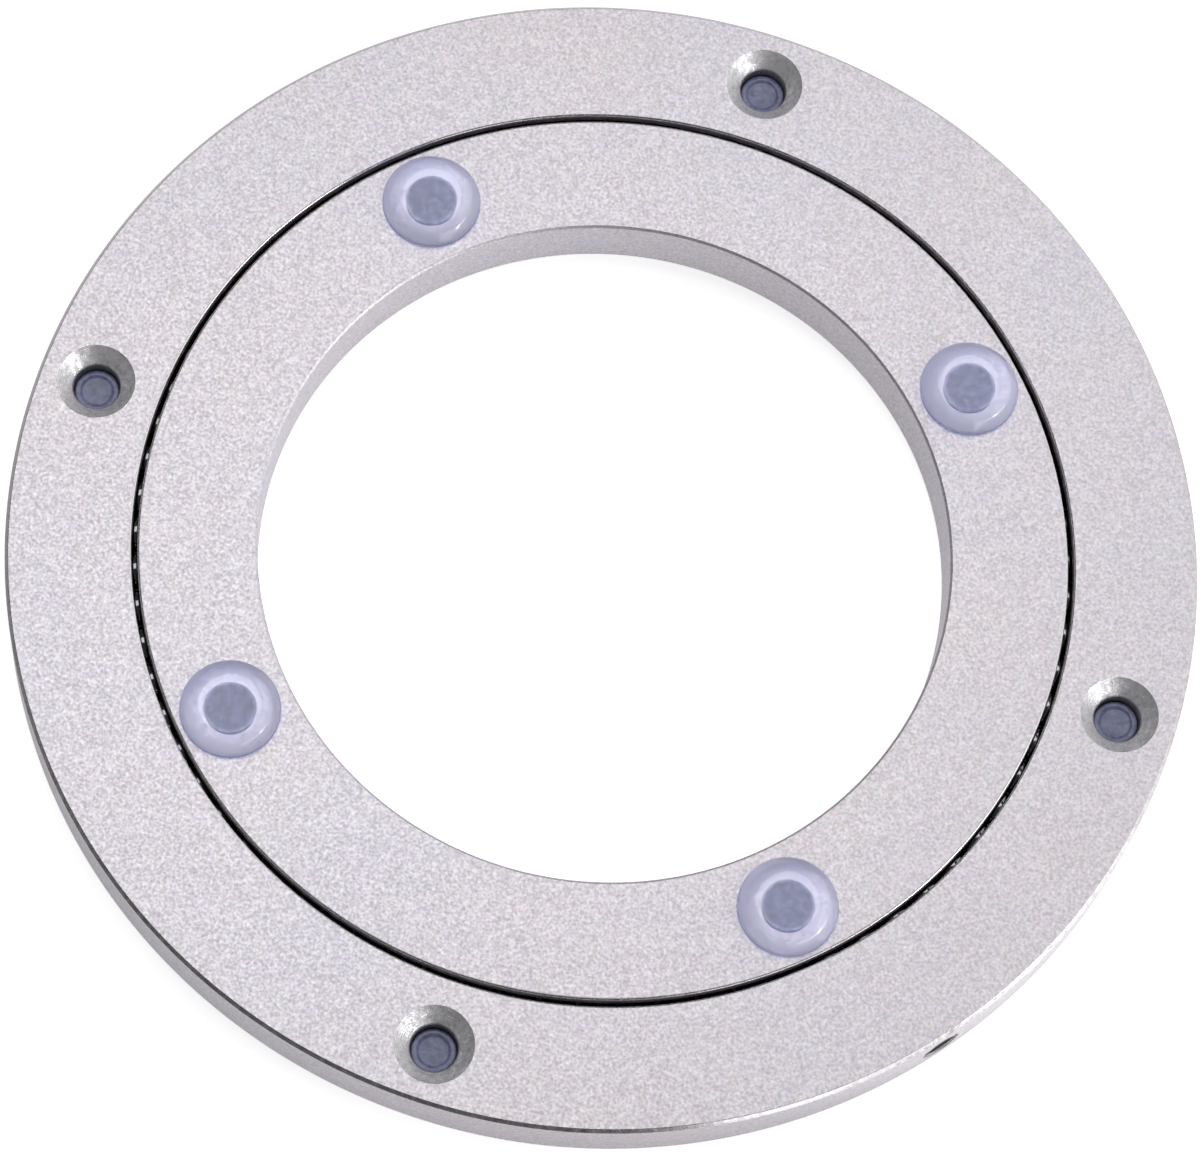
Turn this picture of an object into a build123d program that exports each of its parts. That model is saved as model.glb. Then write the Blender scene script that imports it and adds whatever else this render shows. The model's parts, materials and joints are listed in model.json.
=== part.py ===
from build123d import *
import os
from math import atan, cos, degrees, floor, pi, radians, sin, sqrt

# Lazy susan bearing: two flat aluminium rings, one inside the other, that turn on a full set of
# steel balls. Push-in feet under the outer ring stand it on the table, and feet on top of the
# inner ring carry the tray. Sizes are in millimetres and degrees. +Z is up, Z = 0 is the table,
# and +X runs from the turning axis through a screw hole of the outer ring.

# Rings, from the middle outwards
bore_dia = 81.3  # clear hole through the middle
inner_ring_width = 14.0  # from the bore to the running gap
ring_gap = 0.65  # running gap between the rings
outer_ring_width = 14.7  # from the running gap to the rim
edge_chamfer = 0.5  # on the edges of the bore and the rim
gap_chamfer = 0.3  # on the edges of the running gap

# Balls and their raceway, a square groove standing on its corner, half in each ring
ball_dia = 4.5
ball_gap = 0.1  # least free space between neighbouring balls
ball_start_angle = 4.0
race_clear = 0.08  # between a ball and each flank of the raceway
race_relief = 0.3  # between a ball and the raceway's flat bottom
race_land = 1.23  # plain wall above and below the raceway

# Screw holes, countersunk on top of the outer ring and underneath the inner ring
hole_count = 4
hole_dia = 5.5
countersink_dia = 9.2
countersink_angle = 90
hole_shift = 0.45  # how far outside the middle of its ring's face a hole lies
inner_ring_turn = 43.6  # of the inner ring's holes from the outer ring's, at rest

# Push-in feet
foot_dia = 11.8
foot_height = 2.5
foot_shoulder = 0.7
stem_length = 5.3
stem_clear = 0.1  # between a stem and its hole

# Filling port, through which the balls go in, and the grub screw that closes it
port_angle = -38.5
port_clear = 0.15  # between a ball and the port
screw_clear = 0.05  # between the grub screw and the port
screw_recess = 0.1  # of the screw's end below the rim
screw_chamfer = 0.3
slot_width = 0.8  # for the screwdriver
slot_depth = 1.2

# A ball is drawn with flat facets whose corners lie on its true sphere, to keep the long row light
ball_sides = 5

# Radii of the walls
inner_wall = bore_dia / 2
inner_gap_wall = inner_wall + inner_ring_width
outer_gap_wall = inner_gap_wall + ring_gap
rim = outer_gap_wall + outer_ring_width
pitch_radius = (inner_gap_wall + outer_gap_wall) / 2
ball_radius = ball_dia / 2
race_corner = (ball_radius + race_clear) * sqrt(2)  # of the square groove, from its centre
race_bottom = ball_radius + race_relief  # of the flats that cut off the groove's side corners
inner_face_middle = (inner_wall + inner_gap_wall) / 2
outer_face_middle = (outer_gap_wall + rim) / 2
inner_hole_radius = inner_face_middle + hole_shift
outer_hole_radius = outer_face_middle + hole_shift

# Heights
race_half_height = race_corner - ring_gap / 2  # where the groove's flanks meet the running gap
ring_height = 2 * (race_half_height + race_land)
ring_bottom = foot_height
ring_top = ring_bottom + ring_height
ring_middle = (ring_bottom + ring_top) / 2

# Looking up at the underside, angles run the other way
underside = Plane(origin=(0, 0, ring_bottom), x_dir=(1, 0, 0), z_dir=(0, 0, -1))
topside = Plane.XY.offset(ring_top)

os.makedirs("parts", exist_ok=True)


def write(part, name):
    part.label = name
    export_step(part, f"parts/{name}.step")


# Section of the raceway, which both rings lose
with BuildSketch(Plane.XZ) as raceway:
    with Locations((pitch_radius, ring_middle)):
        RegularPolygon(race_corner, 4)
        Rectangle(2 * race_bottom, ring_height, mode=Mode.INTERSECT)

# Outer ring
port_direction = Vector(cos(radians(port_angle)), sin(radians(port_angle)), 0)
port_mouth = Plane(
    origin=port_direction * rim + Vector(0, 0, ring_middle),
    x_dir=(0, 0, 1),
    z_dir=port_direction,
)
port_radius = ball_radius + port_clear

with BuildPart() as outer_ring:
    with BuildSketch(Plane.XZ) as outer_section:
        with Locations((outer_face_middle, ring_middle)):
            Rectangle(outer_ring_width, ring_height)
        outer_corners = outer_section.vertices().group_by(Axis.X)
        chamfer(outer_corners[0], gap_chamfer)
        chamfer(outer_corners[-1], edge_chamfer)
        add(raceway.sketch_local, mode=Mode.SUBTRACT)
    revolve(axis=Axis.Z)
    with Locations(topside):
        with PolarLocations(outer_hole_radius, hole_count):
            CounterSinkHole(hole_dia / 2, countersink_dia / 2, counter_sink_angle=countersink_angle)
    with BuildSketch(port_mouth):
        Circle(port_radius)
    extrude(amount=pitch_radius - rim, mode=Mode.SUBTRACT)
write(outer_ring.part, "outer_ring")

# Inner ring
with BuildPart() as inner_ring:
    with BuildSketch(Plane.XZ) as inner_section:
        with Locations((inner_face_middle, ring_middle)):
            Rectangle(inner_ring_width, ring_height)
        inner_corners = inner_section.vertices().group_by(Axis.X)
        chamfer(inner_corners[-1], gap_chamfer)
        chamfer(inner_corners[0], edge_chamfer)
        add(raceway.sketch_local, mode=Mode.SUBTRACT)
    revolve(axis=Axis.Z)
    with Locations(underside):
        with PolarLocations(inner_hole_radius, hole_count, start_angle=-inner_ring_turn):
            CounterSinkHole(hole_dia / 2, countersink_dia / 2, counter_sink_angle=countersink_angle)
write(inner_ring.part, "inner_ring")

# Balls: as many as the raceway holds
ball_count = floor(2 * pi * pitch_radius / (ball_dia + ball_gap))

cap_radius = ball_radius / sqrt(2)  # of the flat on top, whose corners face the raceway's flanks
cap_height = ball_radius / sqrt(2)
facet_inset = (ball_radius - cap_radius) * cos(pi / ball_sides)

with BuildPart() as ball:
    with BuildSketch():
        RegularPolygon(ball_radius, ball_sides)
    extrude(amount=cap_height, taper=degrees(atan(facet_inset / cap_height)))
    mirror(about=Plane.XY)

with BuildPart() as bearing_balls:
    with Locations(Plane.XY.offset(ring_middle)):
        with PolarLocations(pitch_radius, ball_count, start_angle=ball_start_angle):
            add(ball.part, clean=False)
write(bearing_balls.part, "bearing_balls")

# Grub screw in the filling port, its inner end level with the raceway's bottom
screw_length = rim - screw_recess - pitch_radius - race_bottom

with BuildPart() as filling_screw:
    with BuildSketch(port_mouth.offset(-screw_recess)):
        Circle(port_radius - screw_clear)
    extrude(amount=-screw_length)
    screw_rims = filling_screw.edges().filter_by(GeomType.CIRCLE)
    chamfer(screw_rims.sort_by(Axis(port_mouth.origin, port_direction))[-1], screw_chamfer)
    with BuildSketch(port_mouth.offset(-screw_recess)):
        Rectangle(slot_width, 2 * port_radius)
    extrude(amount=-slot_depth, mode=Mode.SUBTRACT)
write(filling_screw.part, "filling_screw")


# Feet: each has a round head on the ring's face and a stem pushed into a screw hole
def make_feet(face, hole_radius, start_angle, name):
    with BuildPart() as feet:
        with BuildSketch(face):
            with PolarLocations(hole_radius, hole_count, start_angle=start_angle):
                Circle(foot_dia / 2)
        extrude(amount=foot_height)
        shoulders = feet.edges().group_by(Axis(face.origin, face.z_dir))[-1]
        chamfer(shoulders, foot_shoulder)
        with BuildSketch(face):
            with PolarLocations(hole_radius, hole_count, start_angle=start_angle):
                Circle(hole_dia / 2 - stem_clear)
        extrude(amount=-stem_length)
    write(feet.part, name)


make_feet(topside, inner_hole_radius, inner_ring_turn, "upper_feet")
make_feet(underside, outer_hole_radius, 0, "lower_feet")

print("balls", ball_count, "outer diameter", 2 * rim, "ring height", ring_height)
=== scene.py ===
import bpy
import json
from math import cos, hypot, pi, radians, sin
from mathutils import Matrix, Vector


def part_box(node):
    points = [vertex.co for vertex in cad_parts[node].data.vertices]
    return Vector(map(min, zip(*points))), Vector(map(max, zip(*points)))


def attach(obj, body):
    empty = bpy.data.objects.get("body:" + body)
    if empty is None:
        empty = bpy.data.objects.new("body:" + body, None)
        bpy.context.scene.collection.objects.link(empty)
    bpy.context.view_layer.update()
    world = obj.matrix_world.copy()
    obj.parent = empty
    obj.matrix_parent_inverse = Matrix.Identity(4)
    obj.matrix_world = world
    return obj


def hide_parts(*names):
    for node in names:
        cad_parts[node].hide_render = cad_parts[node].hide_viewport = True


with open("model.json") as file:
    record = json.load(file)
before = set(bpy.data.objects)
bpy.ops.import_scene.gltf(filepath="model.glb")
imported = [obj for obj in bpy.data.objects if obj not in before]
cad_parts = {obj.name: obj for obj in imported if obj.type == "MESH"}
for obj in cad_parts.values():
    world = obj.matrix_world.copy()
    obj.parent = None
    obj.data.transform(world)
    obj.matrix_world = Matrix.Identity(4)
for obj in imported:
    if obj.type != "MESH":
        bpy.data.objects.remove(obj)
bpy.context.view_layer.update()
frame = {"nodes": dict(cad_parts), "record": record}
print("frame:", ", ".join(sorted(frame["nodes"])))

mm = 0.001
samePlace = 1e-7  # metres within which two points count as one

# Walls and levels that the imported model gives, in metres
outerLow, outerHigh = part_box("outer_ring")
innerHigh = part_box("inner_ring")[1]
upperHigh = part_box("upper_feet")[1]
mounts = {mount["name"]: mount for mount in frame["record"]["mounts"]}
rim = outerHigh.x
innerGapWall = innerHigh.x
bore = mounts["centre_hole"]["dims"]["r_mm"] * mm
ringBottom = outerLow.z
ringTop = outerHigh.z
ringMiddle = (ringBottom + ringTop) / 2
outerHoleRadius = mounts["table_rest"]["pos_m"][0]
innerHolePlace = Vector(mounts["tray_rest"]["pos_m"]).xy
quarterTurns = [index * pi / 2 for index in range(4)]


def aroundAxis(radius, angle, height):
    return Vector((radius * cos(angle), radius * sin(angle), height))


outerHoles = [aroundAxis(outerHoleRadius, turn, 0) for turn in quarterTurns]
innerTurn = -Vector((1, 0)).angle_signed(innerHolePlace)
innerHoles = [aroundAxis(innerHolePlace.length, innerTurn + turn, 0) for turn in quarterTurns]


# Modelling helpers

def selectOnly(piece):
    bpy.ops.object.select_all(action="DESELECT")
    piece.select_set(True)
    bpy.context.view_layer.objects.active = piece


def selectVertices(piece, wanted):
    bpy.ops.mesh.select_mode(type="VERT")
    bpy.ops.mesh.select_all(action="DESELECT")
    bpy.ops.object.mode_set(mode="OBJECT")
    for vertex in piece.data.vertices:
        vertex.select = wanted(vertex.co)
    bpy.ops.object.mode_set(mode="EDIT")


# A half section in the XZ plane: a plane merged to one vertex, which is extruded from corner to
# corner. A corner is (radius, height) or (radius, height, easing), where easing is how far back
# its rounding starts.
def traceSection(name, corners, closed, easingSteps=4):
    places = [Vector((corner[0], 0, corner[1])) for corner in corners]
    bpy.ops.object.select_all(action="DESELECT")
    bpy.ops.mesh.primitive_plane_add(size=mm)
    piece = bpy.context.object
    piece.name = piece.data.name = name
    bpy.ops.object.mode_set(mode="EDIT")
    bpy.ops.mesh.merge(type="CENTER")
    bpy.ops.transform.translate(value=places[0])
    for here, there in zip(places, places[1:]):
        bpy.ops.mesh.extrude_vertices_move(TRANSFORM_OT_translate={"value": there - here})
    if closed:
        ends = (places[0], places[-1])
        selectVertices(piece, lambda co: min((co - end).length for end in ends) < samePlace)
        bpy.ops.mesh.edge_face_add()
    for corner, place in zip(corners, places):
        if len(corner) == 3:
            selectVertices(piece, lambda co: (co - place).length < samePlace)
            bpy.ops.mesh.bevel(offset=corner[2], segments=easingSteps, affect="VERTICES")
    return piece


def spinSection(piece, steps):
    bpy.ops.mesh.select_all(action="SELECT")
    bpy.ops.mesh.spin(steps=steps, angle=2 * pi, center=(0, 0, 0), axis=(0, 0, 1))
    bpy.ops.mesh.select_all(action="SELECT")
    bpy.ops.mesh.remove_doubles(threshold=samePlace)
    bpy.ops.mesh.normals_make_consistent(inside=False)
    bpy.ops.object.mode_set(mode="OBJECT")


def placeAt(piece, location, rotation=(0, 0, 0)):
    selectOnly(piece)
    piece.location = location
    piece.rotation_euler = rotation
    bpy.ops.object.transform_apply(location=True, rotation=True, scale=True)


def copyOf(piece, name):
    selectOnly(piece)
    bpy.ops.object.duplicate(linked=False)
    made = bpy.context.object
    made.name = made.data.name = name
    return made


def cutAway(piece, cutters):
    for cutter in cutters:
        selectOnly(piece)
        bpy.ops.object.modifier_add(type="BOOLEAN")
        cut = piece.modifiers[-1]
        cut.object = cutter
        cut.operation = "DIFFERENCE"
        cut.solver = "EXACT"
        bpy.ops.object.modifier_apply(modifier=cut.name)
        bpy.data.objects.remove(cutter)


# Smooth where faces nearly agree, with the broad flat faces kept flat
def softenShading(piece, angle=35):
    selectOnly(piece)
    bpy.ops.object.shade_smooth_by_angle(angle=radians(angle))
    bpy.ops.object.modifier_add(type="WEIGHTED_NORMAL")
    piece.modifiers[-1].keep_sharp = True
    bpy.ops.object.modifier_apply(modifier=piece.modifiers[-1].name)


# Material helpers

def hexColour(code):
    channels = [int(code[index:index + 2], 16) / 255 for index in (1, 3, 5)]
    linear = [c / 12.92 if c <= 0.04045 else ((c + 0.055) / 1.055) ** 2.4 for c in channels]
    return (*linear, 1)


def newMaterial(name):
    material = bpy.data.materials.new(name)
    material.use_nodes = True
    return material, material.node_tree.nodes["Principled BSDF"]


# Adds a node, sets its fields, links or sets its inputs, and gives a ramp its (position, hex) stops
def addNode(material, kind, inputs, stops=(), **fields):
    node = material.node_tree.nodes.new(kind)
    for field, value in fields.items():
        setattr(node, field, value)
    for socket, value in inputs.items():
        if isinstance(value, bpy.types.NodeSocket):
            material.node_tree.links.new(value, node.inputs[socket])
        else:
            node.inputs[socket].default_value = value
    for index, (position, code) in enumerate(stops):
        node.color_ramp.elements[index].position = position
        node.color_ramp.elements[index].color = hexColour(code)
    return node


def join(material, output, socket):
    material.node_tree.links.new(output, socket)


# A Mix node's sockets when it mixes colours
mixShare, mixUnder, mixOver, mixResult = 0, 6, 7, 2


# Rings: a section spun about the turning axis, then drilled

ringSettings = {
    "steps": 360,
    "runningGap": 0.65 * mm,
    "chamfer": 0.42 * mm,  # of the rim
    "boreChamfer": 0.28 * mm,
    "chamferEasing": 0.05 * mm,
    "gapEasing": 0.34 * mm,  # the running gap's edges are rounded over
    "raceHalfHeight": 2.97 * mm,
    "raceDepth": 2.225 * mm,
    "raceFlatHalf": 0.745 * mm,
    "holeRadius": 2.75 * mm,
    "countersinkRadius": 4.6 * mm,
    "countersinkEasing": 0.06 * mm,
    "deburr": 0.3 * mm,  # of the hole's plain end
    "holeSteps": 96,
    "cutPast": 2 * mm,
    "portRadius": 2.4 * mm,
    "portAngle": radians(-38.5),
    "portReach": 14 * mm,  # from the rim into the raceway
    "portSteps": 64,
    "drilledFacing": 0.6,  # a drilled face turns at least this much to its hole's axis
    "slope": (0.3, 0.95),  # of a cut edge's normal along the turning axis
    "rimBand": 0.504 * mm,  # the rim's cut edges lie within it
}


def ringSection(wallIn, wallOut, raceIsOutside):
    s = ringSettings
    chamfer = s["boreChamfer"] if raceIsOutside else s["chamfer"]
    ease, gapEase = s["chamferEasing"], s["gapEasing"]
    wall, plain = (wallOut, wallIn) if raceIsOutside else (wallIn, wallOut)
    side = -1 if raceIsOutside else 1  # from the running gap into the ring
    deep = wall + side * s["raceDepth"]
    return [
        (wall, ringBottom, gapEase),
        (plain - side * chamfer, ringBottom, ease),
        (plain, ringBottom + chamfer, ease),
        (plain, ringTop - chamfer, ease),
        (plain - side * chamfer, ringTop, ease),
        (wall, ringTop, gapEase),
        (wall, ringMiddle + s["raceHalfHeight"]),
        (deep, ringMiddle + s["raceFlatHalf"]),
        (deep, ringMiddle - s["raceFlatHalf"]),
        (wall, ringMiddle - s["raceHalfHeight"]),
    ]


# Cutter for a screw hole, its cone opening upwards at height 0
def countersinkCutter():
    s = ringSettings
    coneDepth = s["countersinkRadius"] - s["holeRadius"]
    height = ringTop - ringBottom
    flare = s["deburr"] + s["cutPast"]
    corners = [
        (0, s["cutPast"]),
        (s["countersinkRadius"] + s["cutPast"], s["cutPast"]),
        (s["countersinkRadius"], 0),
        (s["holeRadius"], -coneDepth, s["countersinkEasing"]),
        (s["holeRadius"], s["deburr"] - height),
        (s["holeRadius"] + flare, -s["cutPast"] - height),
        (0, -s["cutPast"] - height),
    ]
    cutter = traceSection("countersinkCutter", corners, closed=False)
    spinSection(cutter, s["holeSteps"])
    return cutter


def portCutter():
    s = ringSettings
    corners = [(0, -s["portReach"]), (s["portRadius"], -s["portReach"])]
    corners += [(s["portRadius"], s["portReach"]), (0, s["portReach"])]
    cutter = traceSection("portCutter", corners, closed=False)
    spinSection(cutter, s["portSteps"])
    mouth = aroundAxis(rim, s["portAngle"], ringMiddle)
    placeAt(cutter, mouth, (0, pi / 2, s["portAngle"]))
    return cutter


def makeRing(name, section, holes, drillFrom, flip):
    ring = traceSection(name, section, closed=True)
    spinSection(ring, ringSettings["steps"])
    cutters = []
    for hole in holes:
        cutter = countersinkCutter()
        placeAt(cutter, Vector((hole.x, hole.y, drillFrom)), (pi if flip else 0, 0, 0))
        cutters.append(cutter)
    cutAway(ring, cutters)
    return ring


def nearestHole(point, holes):
    return min(holes, key=lambda hole: hypot(point.x - hole.x, point.y - hole.y))


# Sets which faces are blasted, drilled or bright cut, and how far each vertex lies from its
# hole's axis
def finishRing(ring, holes):
    s = ringSettings
    for material in (ringMetal, holeMetal, chamferMetal):
        ring.data.materials.append(material)
    gapEdge = s["runningGap"] / 2 + s["gapEasing"]
    leastSlope, mostSlope = s["slope"]
    for face in ring.data.polygons:
        inward = (nearestHole(face.center, holes) - face.center).xy  # towards the hole's axis
        facing = face.normal.xy.dot(inward) > s["drilledFacing"] * inward.length
        sloping = leastSlope < abs(face.normal.z) < mostSlope
        away = face.center.xy.length
        beyondRace = abs(face.center.z - ringMiddle) > s["raceHalfHeight"]
        atGap = beyondRace and abs(away - ballSettings["pitchRadius"]) < gapEdge
        if facing and inward.length < s["countersinkRadius"]:
            face.material_index = 1
        elif sloping and (atGap or rim - away < s["rimBand"]):
            face.material_index = 2
    turning = ring.data.attributes.new("turning", "FLOAT", "POINT")
    for vertex in ring.data.vertices:
        hole = nearestHole(vertex.co, holes)
        turning.data[vertex.index].value = hypot(vertex.co.x - hole.x, vertex.co.y - hole.y)
    softenShading(ring)


# Balls: a cube subdivided and pushed to a sphere, then repeated round the raceway

ballSettings = {
    "radius": 2.25 * mm,
    "cuts": 4,
    "count": 75,
    "startAngle": radians(4),
    "pitchRadius": innerGapWall + ringSettings["runningGap"] / 2,
}


def makeBalls():
    s = ballSettings
    bpy.ops.object.select_all(action="DESELECT")
    bpy.ops.mesh.primitive_cube_add(size=2 * s["radius"])
    balls = bpy.context.object
    balls.name = balls.data.name = "bearingBalls"
    bpy.ops.object.mode_set(mode="EDIT")
    bpy.ops.mesh.subdivide(number_cuts=s["cuts"])
    bpy.ops.transform.tosphere(value=1)
    bpy.ops.object.mode_set(mode="OBJECT")
    reach = max(vertex.co.length for vertex in balls.data.vertices)
    balls.scale = (s["radius"] / reach,) * 3
    placeAt(balls, aroundAxis(s["pitchRadius"], s["startAngle"], ringMiddle))
    bpy.ops.object.empty_add(rotation=(0, 0, 2 * pi / s["count"]))
    pitchStep = bpy.context.object
    selectOnly(balls)
    bpy.ops.object.modifier_add(type="ARRAY")
    row = balls.modifiers[-1]
    row.count = s["count"]
    row.use_relative_offset = False
    row.use_object_offset = True
    row.offset_object = pitchStep
    bpy.ops.object.modifier_apply(modifier=row.name)
    bpy.data.objects.remove(pitchStep)
    bpy.ops.object.shade_smooth()
    return balls


# Grub screw in the filling port: a turned blank with a slot

screwSettings = {
    "radius": 2.35 * mm,
    "recess": 0.1 * mm,
    "length": 12.37 * mm,
    "chamfer": 0.3 * mm,
    "edgeEasing": 0.05 * mm,
    "innerEndEasing": 0.15 * mm,
    "slotWidth": 0.8 * mm,
    "slotDepth": 1.2 * mm,
    "paintedShadeRadius": 1.6 * mm,  # of the near black disc round the slot, painted shade for a dark socket hollow
    "paintedShadeDepth": 1.212 * mm,  # just past the slot's floor
    "steps": 64,
}


def makeScrew():
    s = screwSettings
    corners = [
        (0, -s["length"]),
        (s["radius"], -s["length"], s["innerEndEasing"]),
        (s["radius"], -s["chamfer"], s["edgeEasing"]),
        (s["radius"] - s["chamfer"], 0, s["edgeEasing"]),
        (s["paintedShadeRadius"], 0),
        (0, 0),
    ]
    screw = traceSection("fillingScrew", corners, closed=False)
    spinSection(screw, s["steps"])
    bpy.ops.object.select_all(action="DESELECT")
    slotSize = (s["slotWidth"], 3 * s["radius"], 2 * s["slotDepth"])  # past both sides
    bpy.ops.mesh.primitive_cube_add(size=1, scale=slotSize)
    cutAway(screw, [bpy.context.object])
    screw.data.materials.append(screwMetal)
    screw.data.materials.append(socketShadePaint)
    # the end face round the slot and the slot's own faces get the painted shade
    for face in screw.data.polygons:
        inPaintedShade = face.center.xy.length < s["paintedShadeRadius"] and face.center.z > -s["paintedShadeDepth"]
        face.material_index = 1 if inPaintedShade else 0
    angle = ringSettings["portAngle"]
    placeAt(screw, aroundAxis(rim - s["recess"], angle, ringMiddle), (0, pi / 2, angle))
    softenShading(screw)
    return screw


# Feet: a lathed button of clear soft plastic with a stem

footSettings = {
    "headRadius": 5.9 * mm,
    "topRadius": 4.3 * mm,  # where the top would meet the sloping wall if their edge were sharp
    "topEasing": 1.0 * mm,
    "wallRadius": 5.85 * mm,  # at the foot of the sloping wall
    "wallHeight": 0.65 * mm,
    "wallEasing": 0.35 * mm,
    "baseEasing": 0.2 * mm,
    "headEasingSteps": 10,
    "lift": 0.02 * mm,  # of the head's underside off the ring
    "stemRadius": 2.65 * mm,
    "stemLength": 5.3 * mm,
    "stemEasing": 0.25 * mm,
    "dishRadius": 1.95 * mm,  # of the shallow dish in the end of the stem
    "dishDepth": 0.2 * mm,
    "dishRimEasing": 0.15 * mm,
    "dishFloorEasing": 0.1 * mm,
    "rootRadius": 3.0 * mm,  # where the stem flares into the hole's broken edge
    "rootDepth": 0.35 * mm,
    "rootHeight": 0.06 * mm,  # the stem reaches this far into the head
    "rootSoftFrom": 2.65 * mm,  # from here outwards the root grows paler
    "stemEasingSteps": 8,
    "steps": 96,
    "smoothAngle": 60,
}


# Stands on height 0: the head above, and the stem that it is moulded over below
def makeFoot(name):
    s = footSettings
    headHeight = upperHigh.z - ringTop
    headCorners = [
        (0, headHeight),
        (s["topRadius"], headHeight, s["topEasing"]),
        (s["wallRadius"], s["wallHeight"], s["wallEasing"]),
        (s["headRadius"], s["lift"], s["baseEasing"]),
        (0, s["lift"]),
    ]
    foot = traceSection(name, headCorners, closed=False, easingSteps=s["headEasingSteps"])
    spinSection(foot, s["steps"])
    dishFloor = s["dishDepth"] - s["stemLength"]
    stemCorners = [
        (0, s["rootHeight"]),
        (s["rootSoftFrom"], s["rootHeight"]),
        (s["rootRadius"], s["rootHeight"]),
        (s["stemRadius"], -s["rootDepth"]),
        (s["stemRadius"], -s["stemLength"], s["stemEasing"]),
        (s["dishRadius"], -s["stemLength"], s["dishRimEasing"]),
        (s["dishRadius"] - s["dishDepth"], dishFloor, s["dishFloorEasing"]),
        (0, dishFloor),
    ]
    stem = traceSection("stem", stemCorners, closed=False, easingSteps=s["stemEasingSteps"])
    spinSection(stem, s["steps"])
    headFaces, headVertices = len(foot.data.polygons), len(foot.data.vertices)
    selectOnly(foot)
    stem.select_set(True)
    bpy.ops.object.join()
    for face in foot.data.polygons:
        face.material_index = 1 if face.index >= headFaces else 0
    marks = {"fromAxis": [], "seat": [], "alongStem": [], "rootEdge": []}  # read by the plastics
    for vertex in foot.data.vertices:
        away = vertex.co.xy.length
        onSeat = vertex.index >= headVertices or vertex.co.z < 2 * s["lift"]
        marks["fromAxis"].append(0 if onSeat else away)
        marks["seat"].append(1 if onSeat else 0)
        marks["alongStem"].append(max(-vertex.co.z / s["stemLength"], 0))
        marks["rootEdge"].append(1 if away > s["rootRadius"] - samePlace else 0)
    for markName, values in marks.items():
        foot.data.attributes.new(markName, "FLOAT", "POINT").data.foreach_set("value", values)
    softenShading(foot, s["smoothAngle"])
    return foot


# Materials. A settings entry with socket names goes to a node as it stands, a noise's scale comes
# from a size in millimetres, and a list holds a ramp's stops.

# Sandblasted, clear anodised aluminium: pale silver with a fine even grain and a faint lilac cast.
# Real blast pits are finer than the render shows, so the grain is drawn coarser.
blastSettings = {
    "grain": {"Scale": 1 / (0.36 * mm), "Detail": 2, "Roughness": 0.6},
    "specks": {"Scale": 1 / (1.2 * mm), "Detail": 2, "Roughness": 0.6},
    "speckShare": 0.13,
    "drift": {"Scale": 1 / (24 * mm), "Detail": 3, "Roughness": 0.55},
    "tints": [(0.3, "#DBD7DF"), (0.7, "#DED8DD")],
    "brightness": {"From Min": 0.25, "From Max": 0.75, "To Min": 0.79, "To Max": 1.17},
    "roughness": {"From Min": 0.25, "From Max": 0.75, "To Min": 0.58, "To Max": 0.46},
    "pits": {"Distance": 0.03 * mm, "Strength": 0.25},
}


def blastedAluminium():
    s = blastSettings
    material, shader = newMaterial("blastedAnodisedAluminium")
    place = addNode(material, "ShaderNodeTexCoord", {}).outputs["Object"]
    grain = addNode(material, "ShaderNodeTexNoise", {"Vector": place, **s["grain"]}).outputs["Fac"]
    drift = addNode(material, "ShaderNodeTexNoise", {"Vector": place, **s["drift"]}).outputs["Fac"]
    tints = addNode(material, "ShaderNodeValToRGB", {"Fac": drift}, s["tints"]).outputs["Color"]
    specks = addNode(material, "ShaderNodeTexNoise", {"Vector": place, **s["specks"]})
    tinted = addNode(material, "ShaderNodeMix", {
        mixShare: s["speckShare"], mixUnder: tints, mixOver: specks.outputs["Color"],
    }, data_type="RGBA", blend_type="OVERLAY").outputs[mixResult]
    bright = addNode(material, "ShaderNodeMapRange", {"Value": grain, **s["brightness"]})
    colour = addNode(material, "ShaderNodeMix", {
        mixShare: 1, mixUnder: tinted, mixOver: bright.outputs["Result"],
    }, data_type="RGBA", blend_type="MULTIPLY").outputs[mixResult]
    rough = addNode(material, "ShaderNodeMapRange", {"Value": grain, **s["roughness"]})
    pits = addNode(material, "ShaderNodeBump", {"Height": grain, **s["pits"]})
    join(material, colour, shader.inputs["Base Color"])
    join(material, rough.outputs["Result"], shader.inputs["Roughness"])
    join(material, pits.outputs["Normal"], shader.inputs["Normal"])
    shader.inputs["Metallic"].default_value = 1
    return material


# Bare aluminium torn by the countersink cutter: ragged bright and dark specks, rings left by the
# tool, and painted shade that darkens the bore
tornSettings = {
    "chatter": {"Scale": 1 / (0.7 * mm), "Detail": 4, "Roughness": 0.65},
    "stains": [(0.36, "#C8C6CA"), (0.62, "#F6F4F6")],
    "roughness": {"From Min": 0.36, "From Max": 0.62, "To Min": 0.42, "To Max": 0.24},
    # painted shade: the bore's colour is multiplied down to 0.42 inside the hole's radius
    "paintedBoreShade": {"From Min": 2.85 * mm, "From Max": 2.9355 * mm, "To Min": 0.42},
    "tears": {"Scale": 1 / (0.3 * mm), "Detail": 3, "Roughness": 0.65},
    "tearBump": {"Distance": 0.04 * mm, "Strength": 1},
    "toolPitch": 0.24 * mm,
    "toolBump": {"Distance": 0.006 * mm, "Strength": 0.4},
    "metallic": 0.45,  # the torn skin scatters much of the light
}


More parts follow.
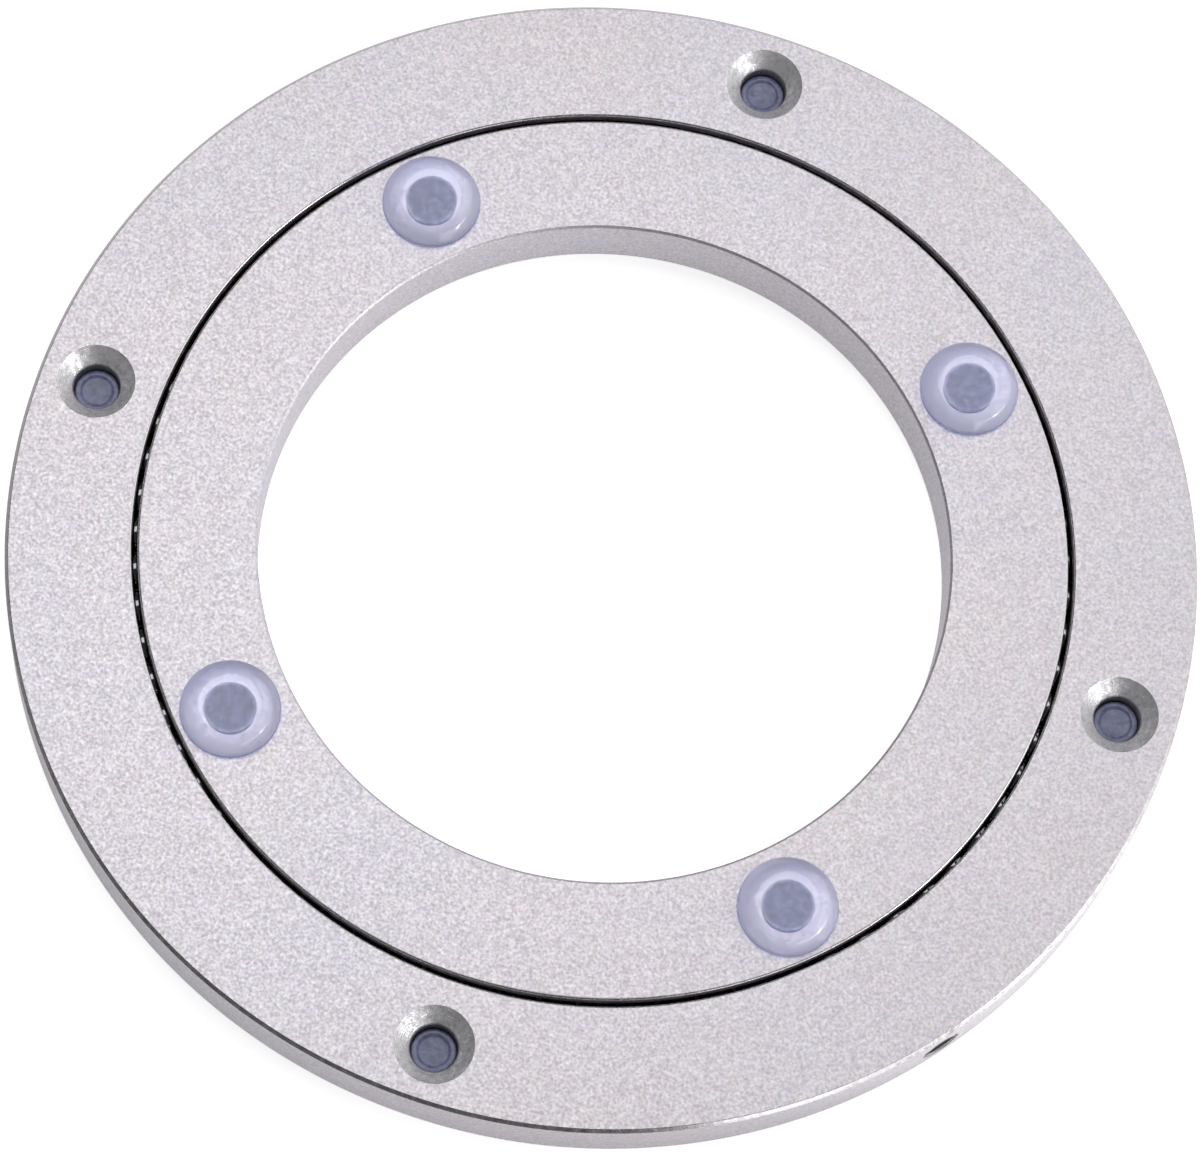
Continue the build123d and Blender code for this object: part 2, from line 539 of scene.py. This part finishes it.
def tornAluminium():
    s = tornSettings
    material, shader = newMaterial("tornBareAluminium")
    place = addNode(material, "ShaderNodeTexCoord", {}).outputs["Object"]
    radius = addNode(material, "ShaderNodeAttribute", {}, attribute_name="turning").outputs["Fac"]
    chatter = addNode(material, "ShaderNodeTexNoise", {
        "Vector": place, **s["chatter"],
    }).outputs["Fac"]
    stains = addNode(material, "ShaderNodeValToRGB", {"Fac": chatter}, s["stains"]).outputs["Color"]
    shade = addNode(material, "ShaderNodeMapRange", {"Value": radius, **s["paintedBoreShade"]})
    colour = addNode(material, "ShaderNodeMix", {
        mixShare: 1, mixUnder: stains, mixOver: shade.outputs["Result"],
    }, data_type="RGBA", blend_type="MULTIPLY").outputs[mixResult]
    rough = addNode(material, "ShaderNodeMapRange", {"Value": chatter, **s["roughness"]})
    tears = addNode(material, "ShaderNodeTexNoise", {"Vector": place, **s["tears"]}).outputs["Fac"]
    torn = addNode(material, "ShaderNodeBump", {"Height": tears, **s["tearBump"]}).outputs["Normal"]
    phase = addNode(material, "ShaderNodeMath", {
        0: radius, 1: 2 * pi / s["toolPitch"],
    }, operation="MULTIPLY").outputs[0]
    toolMarks = addNode(material, "ShaderNodeMath", {0: phase}, operation="SINE").outputs[0]
    bump = addNode(material, "ShaderNodeBump", {
        "Height": toolMarks, "Normal": torn, **s["toolBump"],
    })
    join(material, colour, shader.inputs["Base Color"])
    join(material, rough.outputs["Result"], shader.inputs["Roughness"])
    join(material, bump.outputs["Normal"], shader.inputs["Normal"])
    shader.inputs["Metallic"].default_value = s["metallic"]
    return material


# A finish whose colour, roughness and relief follow one cloudy pattern
def cloudedFinish(name, s):
    material, shader = newMaterial(name)
    place = addNode(material, "ShaderNodeTexCoord", {}).outputs["Object"]
    cloud = addNode(material, "ShaderNodeTexNoise", {"Vector": place, **s["cloud"]}).outputs["Fac"]
    shades = addNode(material, "ShaderNodeValToRGB", {"Fac": cloud}, s["shades"])
    rough = addNode(material, "ShaderNodeMapRange", {"Value": cloud, **s["roughness"]})
    join(material, shades.outputs["Color"], shader.inputs["Base Color"])
    join(material, rough.outputs["Result"], shader.inputs["Roughness"])
    if "bump" in s:
        bump = addNode(material, "ShaderNodeBump", {"Height": cloud, **s["bump"]})
        join(material, bump.outputs["Normal"], shader.inputs["Normal"])
    shader.inputs["Metallic"].default_value = s["metallic"]
    return material


# Chamfers cut after blasting: bare bright aluminium, smoother than the faces, so they flip from
# dark to white
brightCutSettings = {
    "cloud": {"Scale": 1 / (0.9 * mm), "Detail": 3, "Roughness": 0.6},
    "shades": [(0.3, "#CFCBCC"), (0.7, "#E2DEE0")],
    "roughness": {"From Min": 0.3, "From Max": 0.7, "To Min": 0.2, "To Max": 0.34},
    "bump": {"Distance": 0.03 * mm, "Strength": 0.4},
    "metallic": 1,
}

# Lapped ball steel: near mirror, slightly clouded by grease
ballSteelSettings = {
    "cloud": {"Scale": 1 / (1.6 * mm), "Detail": 2},
    "shades": [(0, "#6A6A6B"), (1, "#8C8C90")],
    "roughness": {"From Min": 0.3, "From Max": 0.7, "To Min": 0.05, "To Max": 0.14},
    "metallic": 1,
}

# Zinc plated screw steel: bright grey, satin, with duller cloudy patches
screwSteelSettings = {
    "cloud": {"Scale": 1 / (0.8 * mm), "Detail": 4},
    "shades": [(0.35, "#A9A9AC"), (0.75, "#CFCED2")],
    "roughness": {"From Min": 0.3, "From Max": 0.7, "To Min": 0.34, "To Max": 0.5},
    "metallic": 1,
}

# Painted shade on the screw's end round the slot, standing in for a dark socket hollow: near black,
# matt, with a few greyer smears
socketShadePaintSettings = {
    "cloud": {"Scale": 1 / (0.5 * mm), "Detail": 3},
    "shades": [(0.4, "#1C1B1E"), (0.8, "#4A4A4E")],
    "roughness": {"From Min": 0.3, "From Max": 0.7, "To Min": 0.6, "To Max": 0.8},
    "metallic": 0,
}


# Moulded clear PVC: glassy and soft edged, with a lilac blue body that deepens with thickness
pvcSettings = {
    "flow": {"Scale": 1 / (2.4 * mm), "Detail": 2},
    "shades": [(0, "#F3F3F7"), (1, "#F9F9FB")],
    "roughness": {"From Min": 0.3, "From Max": 0.7, "To Min": 0.1, "To Max": 0.16},
    "seatRoughness": 0.3,  # added on the matt underside
    "flowBump": {"Distance": 0.008 * mm, "Strength": 0.25},
    "body": {"Color": hexColour("#8C9CD2"), "Density": 92},
    "clearness": 0.92,  # the rest is a faint milky haze
    "ior": 1.53,
    # Lamp light that comes through the sloping wall, which bends the rest away
    "wall": {"From Min": 3.3 * mm, "From Max": 5.6 * mm},
    "topPasses": "#FFFFFF",
    "wallPasses": "#CDD1EC",
}


def clearPvc():
    s = pvcSettings
    material, shader = newMaterial("mouldedClearPvc")
    place = addNode(material, "ShaderNodeTexCoord", {}).outputs["Object"]
    flow = addNode(material, "ShaderNodeTexNoise", {"Vector": place, **s["flow"]}).outputs["Fac"]
    shades = addNode(material, "ShaderNodeValToRGB", {"Fac": flow}, s["shades"])
    fromAxis = addNode(material, "ShaderNodeAttribute", {}, attribute_name="fromAxis")
    seat = addNode(material, "ShaderNodeAttribute", {}, attribute_name="seat")
    rough = addNode(material, "ShaderNodeMapRange", {"Value": flow, **s["roughness"]})
    rough = addNode(material, "ShaderNodeMath", {
        0: seat.outputs["Fac"], 1: s["seatRoughness"], 2: rough.outputs["Result"],
    }, operation="MULTIPLY_ADD").outputs[0]
    bump = addNode(material, "ShaderNodeBump", {"Height": flow, **s["flowBump"]})
    onWall = addNode(material, "ShaderNodeMapRange", {
        "Value": fromAxis.outputs["Fac"], **s["wall"],
    }, interpolation_type="SMOOTHSTEP").outputs["Result"]
    passes = addNode(material, "ShaderNodeMix", {
        mixShare: onWall, mixUnder: hexColour(s["topPasses"]), mixOver: hexColour(s["wallPasses"]),
    }, data_type="RGBA").outputs[mixResult]
    path = addNode(material, "ShaderNodeLightPath", {})
    passed = addNode(material, "ShaderNodeBsdfTransparent", {"Color": passes})
    lit = addNode(material, "ShaderNodeMixShader", {
        0: path.outputs["Is Shadow Ray"], 1: shader.outputs["BSDF"], 2: passed.outputs["BSDF"],
    })
    body = addNode(material, "ShaderNodeVolumeAbsorption", s["body"])
    output = material.node_tree.nodes["Material Output"]
    join(material, shades.outputs["Color"], shader.inputs["Base Color"])
    join(material, rough, shader.inputs["Roughness"])
    join(material, bump.outputs["Normal"], shader.inputs["Normal"])
    join(material, lit.outputs["Shader"], output.inputs["Surface"])
    join(material, body.outputs["Volume"], output.inputs["Volume"])
    shader.inputs["IOR"].default_value = s["ior"]
    shader.inputs["Transmission Weight"].default_value = s["clearness"]
    return material


# Moulded hazy PVC of the stems: the same plastic, clouded through its depth, so it looks violet
# grey and mottled, matt at the root and glossier towards its dished end
hazySettings = {
    "cloud": {"Scale": 1 / (1.8 * mm), "Detail": 2},
    "cloudShare": 0.3,  # of the clouds in the change from root to end
    "shades": [(0.1, "#7B7FA4"), (1, "#7C81A3")],
    "roughness": {"From Min": 0.3, "From Max": 1, "To Min": 0.5, "To Max": 0.16},
    "rootEdge": "#BFC4E2",
    "mottle": {
        "Scale": 1 / (0.9 * mm), "Detail": 4, "Roughness": 0.6, "Distortion": 0.6,
    },
    "mottleShade": {"From Min": 0.35, "From Max": 0.65, "To Min": 0.72, "To Max": 1.26},
    "cloudBump": {"Distance": 0.1 * mm, "Strength": 0.8},
    "ior": 1.53,
    "specularLevel": 0.3,
}


def hazyPvc():
    s = hazySettings
    material, shader = newMaterial("mouldedHazyPvc")
    place = addNode(material, "ShaderNodeTexCoord", {}).outputs["Object"]
    cloud = addNode(material, "ShaderNodeTexNoise", {"Vector": place, **s["cloud"]}).outputs["Fac"]
    alongStem = addNode(material, "ShaderNodeAttribute", {}, attribute_name="alongStem")
    towardsEnd = addNode(material, "ShaderNodeMath", {
        0: cloud, 1: s["cloudShare"], 2: alongStem.outputs["Fac"],
    }, operation="MULTIPLY_ADD").outputs[0]
    shades = addNode(material, "ShaderNodeValToRGB", {"Fac": towardsEnd}, s["shades"])
    rough = addNode(material, "ShaderNodeMapRange", {"Value": towardsEnd, **s["roughness"]})
    rootEdge = addNode(material, "ShaderNodeAttribute", {}, attribute_name="rootEdge")
    edged = addNode(material, "ShaderNodeMix", {
        mixShare: rootEdge.outputs["Fac"], mixUnder: shades.outputs["Color"],
        mixOver: hexColour(s["rootEdge"]),
    }, data_type="RGBA").outputs[mixResult]
    mottle = addNode(material, "ShaderNodeTexNoise", {"Vector": place, **s["mottle"]})
    mottle = addNode(material, "ShaderNodeMapRange", {
        "Value": mottle.outputs["Fac"], **s["mottleShade"],
    })
    colour = addNode(material, "ShaderNodeMix", {
        mixShare: 1, mixUnder: edged, mixOver: mottle.outputs["Result"],
    }, data_type="RGBA", blend_type="MULTIPLY").outputs[mixResult]
    bump = addNode(material, "ShaderNodeBump", {"Height": cloud, **s["cloudBump"]})
    join(material, colour, shader.inputs["Base Color"])
    join(material, rough.outputs["Result"], shader.inputs["Roughness"])
    join(material, bump.outputs["Normal"], shader.inputs["Normal"])
    shader.inputs["IOR"].default_value = s["ior"]
    shader.inputs["Specular IOR Level"].default_value = s["specularLevel"]
    return material


ringMetal = blastedAluminium()
holeMetal = tornAluminium()
chamferMetal = cloudedFinish("brightCutAluminium", brightCutSettings)
ballMetal = cloudedFinish("lappedBallSteel", ballSteelSettings)
screwMetal = cloudedFinish("zincPlatedScrewSteel", screwSteelSettings)
socketShadePaint = cloudedFinish("paintedSocketShade", socketShadePaintSettings)
headPlastic = clearPvc()
stemPlastic = hazyPvc()
print("materials ready")

# Build the pieces

outerWall = innerGapWall + ringSettings["runningGap"]
outerSection = ringSection(outerWall, rim, False)
outerRing = makeRing("outerRing", outerSection, outerHoles, ringTop, False)
cutAway(outerRing, [portCutter()])
finishRing(outerRing, outerHoles)
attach(outerRing, "outer")
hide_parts("outer_ring")
print("outer ring:", len(outerRing.data.polygons), "faces")

innerSection = ringSection(bore, innerGapWall, True)
innerRing = makeRing("innerRing", innerSection, innerHoles, ringBottom, True)
finishRing(innerRing, innerHoles)
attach(innerRing, "inner")
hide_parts("inner_ring")
print("inner ring:", len(innerRing.data.polygons), "faces")

bearingBalls = makeBalls()
bearingBalls.data.materials.append(ballMetal)
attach(bearingBalls, "balls")
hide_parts("bearing_balls")
print("balls:", len(bearingBalls.data.polygons), "faces")

fillingScrew = makeScrew()
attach(fillingScrew, "outer")
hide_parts("filling_screw")
print("filling screw:", len(fillingScrew.data.polygons), "faces")

footPattern = makeFoot("footPattern")
footPattern.data.materials.append(headPlastic)
footPattern.data.materials.append(stemPlastic)
for number, hole in enumerate(innerHoles, 1):
    foot = copyOf(footPattern, f"upperFoot{number}")
    placeAt(foot, Vector((hole.x, hole.y, ringTop)))
    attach(foot, "inner")
    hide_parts("upper_feet")
for number, hole in enumerate(outerHoles, 1):
    foot = copyOf(footPattern, f"lowerFoot{number}")
    placeAt(foot, Vector((hole.x, hole.y, ringBottom)), (pi, 0, 0))
    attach(foot, "outer")
    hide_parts("lower_feet")
bpy.data.objects.remove(footPattern)
print("feet: 4 upper, 4 lower")

# Studio: a pale floor, soft lamps and the camera. Directions are as the picture shows them:
# 0 is to the right, 90 is up the picture.

pictureTurn = radians(18.5)  # from the model's +X to the picture's right

floorSettings = {
    "size": 4,
    "drop": 0.02 * mm,
    "colour": "#F4F4F5",
    "roughness": 0.9,
    "seenGlow": 0.78,  # as the camera and the clear plastic see it
    "paintedNearGlow": 0.31,  # painted glow that only the metal's reflections see, close to the rings
    "near": {"From Min": 100 * mm, "From Max": 130 * mm, "To Min": 1, "To Max": 0},
    "sideDirection": -40,
    "paintedSideGlow": {"From Min": 0.93 * rim, "From Max": 1.1 * rim, "To Max": 0.42},  # a painted pool of light, added there
    # Painted shadow of the rings: the mirrored glow comes on only out from the middle of the rings'
    # width, where they no longer cover it
    "outsidePaintedRingShadow": {"From Min": 0.46 * (rim - bore), "From Max": 0.53 * (rim - bore)},
}


def makeFloor():
    s = floorSettings
    bpy.ops.object.select_all(action="DESELECT")
    bpy.ops.mesh.primitive_plane_add(size=s["size"], location=(0, 0, -s["drop"]))
    floor = bpy.context.object
    floor.name = floor.data.name = "studioFloor"
    material, shader = newMaterial("mattWhiteCard")
    path = addNode(material, "ShaderNodeLightPath", {})
    seen = addNode(material, "ShaderNodeMath", {
        0: path.outputs["Is Camera Ray"], 1: path.outputs["Is Transmission Ray"],
    }, operation="MAXIMUM").outputs[0]
    seen = addNode(material, "ShaderNodeMath", {
        0: seen, 1: s["seenGlow"],
    }, operation="MULTIPLY").outputs[0]
    place = addNode(material, "ShaderNodeTexCoord", {}).outputs["Object"]
    side = aroundAxis(1, radians(s["sideDirection"]) + pictureTurn, 0)
    along = addNode(material, "ShaderNodeVectorMath", {
        0: place, 1: side,
    }, operation="DOT_PRODUCT").outputs["Value"]
    paintedSideGlow = addNode(material, "ShaderNodeMapRange", {"Value": along, **s["paintedSideGlow"]})
    bothGlows = addNode(material, "ShaderNodeMath", {
        0: paintedSideGlow.outputs["Result"], 1: s["paintedNearGlow"],
    }, operation="ADD").outputs[0]
    away = addNode(material, "ShaderNodeVectorMath", {
        0: place,
    }, operation="LENGTH").outputs["Value"]
    near = addNode(material, "ShaderNodeMapRange", {"Value": away, **s["near"]}).outputs["Result"]
    fromMiddle = addNode(material, "ShaderNodeMath", {
        0: away, 1: (rim + bore) / 2,
    }, operation="SUBTRACT").outputs[0]
    fromMiddle = addNode(material, "ShaderNodeMath", {
        0: fromMiddle,
    }, operation="ABSOLUTE").outputs[0]
    outsidePaintedRingShadow = addNode(material, "ShaderNodeMapRange", {"Value": fromMiddle, **s["outsidePaintedRingShadow"]})
    # Painted light: the floor glows for glossy rays alone, fading away from the rings and brighter
    # towards one side
    paintedMirrorGlow = path.outputs["Is Glossy Ray"]
    for share in (bothGlows, near, outsidePaintedRingShadow.outputs["Result"]):
        paintedMirrorGlow = addNode(material, "ShaderNodeMath", {
            0: paintedMirrorGlow, 1: share,
        }, operation="MULTIPLY").outputs[0]
    glow = addNode(material, "ShaderNodeMath", {
        0: seen, 1: paintedMirrorGlow,
    }, operation="MAXIMUM").outputs[0]
    shader.inputs["Base Color"].default_value = hexColour(s["colour"])
    shader.inputs["Roughness"].default_value = s["roughness"]
    shader.inputs["Specular IOR Level"].default_value = 0
    shader.inputs["Emission Color"].default_value = (1, 1, 1, 1)
    join(material, glow, shader.inputs["Emission Strength"])
    floor.data.materials.append(material)


worldSettings = {
    "colour": "#F2F2F5",
    "strength": {"To Min": 0.1, "To Max": 1.1},  # the second is what the camera sees
}


def makeWorld():
    world = bpy.data.worlds.new("studioWorld")
    bpy.context.scene.world = world
    world.use_nodes = True
    background = world.node_tree.nodes["Background"]
    background.inputs["Color"].default_value = hexColour(worldSettings["colour"])
    path = addNode(world, "ShaderNodeLightPath", {})
    strength = addNode(world, "ShaderNodeMapRange", {
        "Value": path.outputs["Is Camera Ray"], **worldSettings["strength"],
    })
    join(world, strength.outputs["Result"], background.inputs["Strength"])


# Directions and heights are in degrees, distances and sizes in metres. Level is the brightness of
# the lamp's own face.
lampSettings = {
    "overheadSoftbox": {
        "direction": 110, "height": 73, "distance": 0.8, "size": (0.65, 0.4), "level": 2.7,
    },
    "rightPanel": {
        "direction": 15, "height": 25, "distance": 0.7, "size": (1.2, 0.8), "level": 1.1,
    },
    "lowRightSoftbox": {
        "direction": -32, "height": 15, "distance": 0.7, "size": (0.13, 0.11), "level": 12,
    },
    "lowStrip": {
        "direction": -41, "height": 16, "distance": 0.72, "size": (0.9, 0.13), "level": 3.4,
    },
}


def addLamp(name, s):
    direction, height = radians(s["direction"]), radians(s["height"])
    place = aroundAxis(cos(height), direction + pictureTurn, sin(height))
    bpy.ops.object.select_all(action="DESELECT")
    bpy.ops.object.light_add(type="AREA", location=place * s["distance"])
    lamp = bpy.context.object
    lamp.name = lamp.data.name = name
    lamp.rotation_euler = place.to_track_quat("Z", "Y").to_euler()
    lamp.data.shape = "RECTANGLE"
    lamp.data.size, lamp.data.size_y = s["size"]
    lamp.data.energy = s["level"] * pi * s["size"][0] * s["size"][1]


cameraSettings = {
    "lens": 150,
    "sensorWidth": 36,
    "distance": 585.6 * mm,
    "tilt": (-0.3371, 0.0648),  # from straight down, in radians about the picture's two axes
    "across": 0.64 * mm,  # of the rings' middle from the picture's
    "up": 3.39 * mm,
}


def makeCamera():
    s = cameraSettings
    bpy.ops.object.camera_add()
    camera = bpy.context.object
    camera.name = camera.data.name = "pictureCamera"
    camera.data.lens = s["lens"]
    camera.data.sensor_fit = "HORIZONTAL"
    camera.data.sensor_width = s["sensorWidth"]
    tilt = Vector((*s["tilt"], 0))
    camera.matrix_world = (
        Matrix.Translation((0, 0, ringTop))
        @ Matrix.Rotation(pictureTurn, 4, "Z")
        @ Matrix.Rotation(-tilt.length, 4, tilt)
        @ Matrix.Translation((-s["across"], -s["up"], s["distance"]))
    )
    bpy.context.scene.camera = camera


makeFloor()
makeWorld()
for lampName, lampValues in lampSettings.items():
    addLamp(lampName, lampValues)
makeCamera()
bpy.context.scene.view_settings.view_transform = "Standard"
print("studio ready")
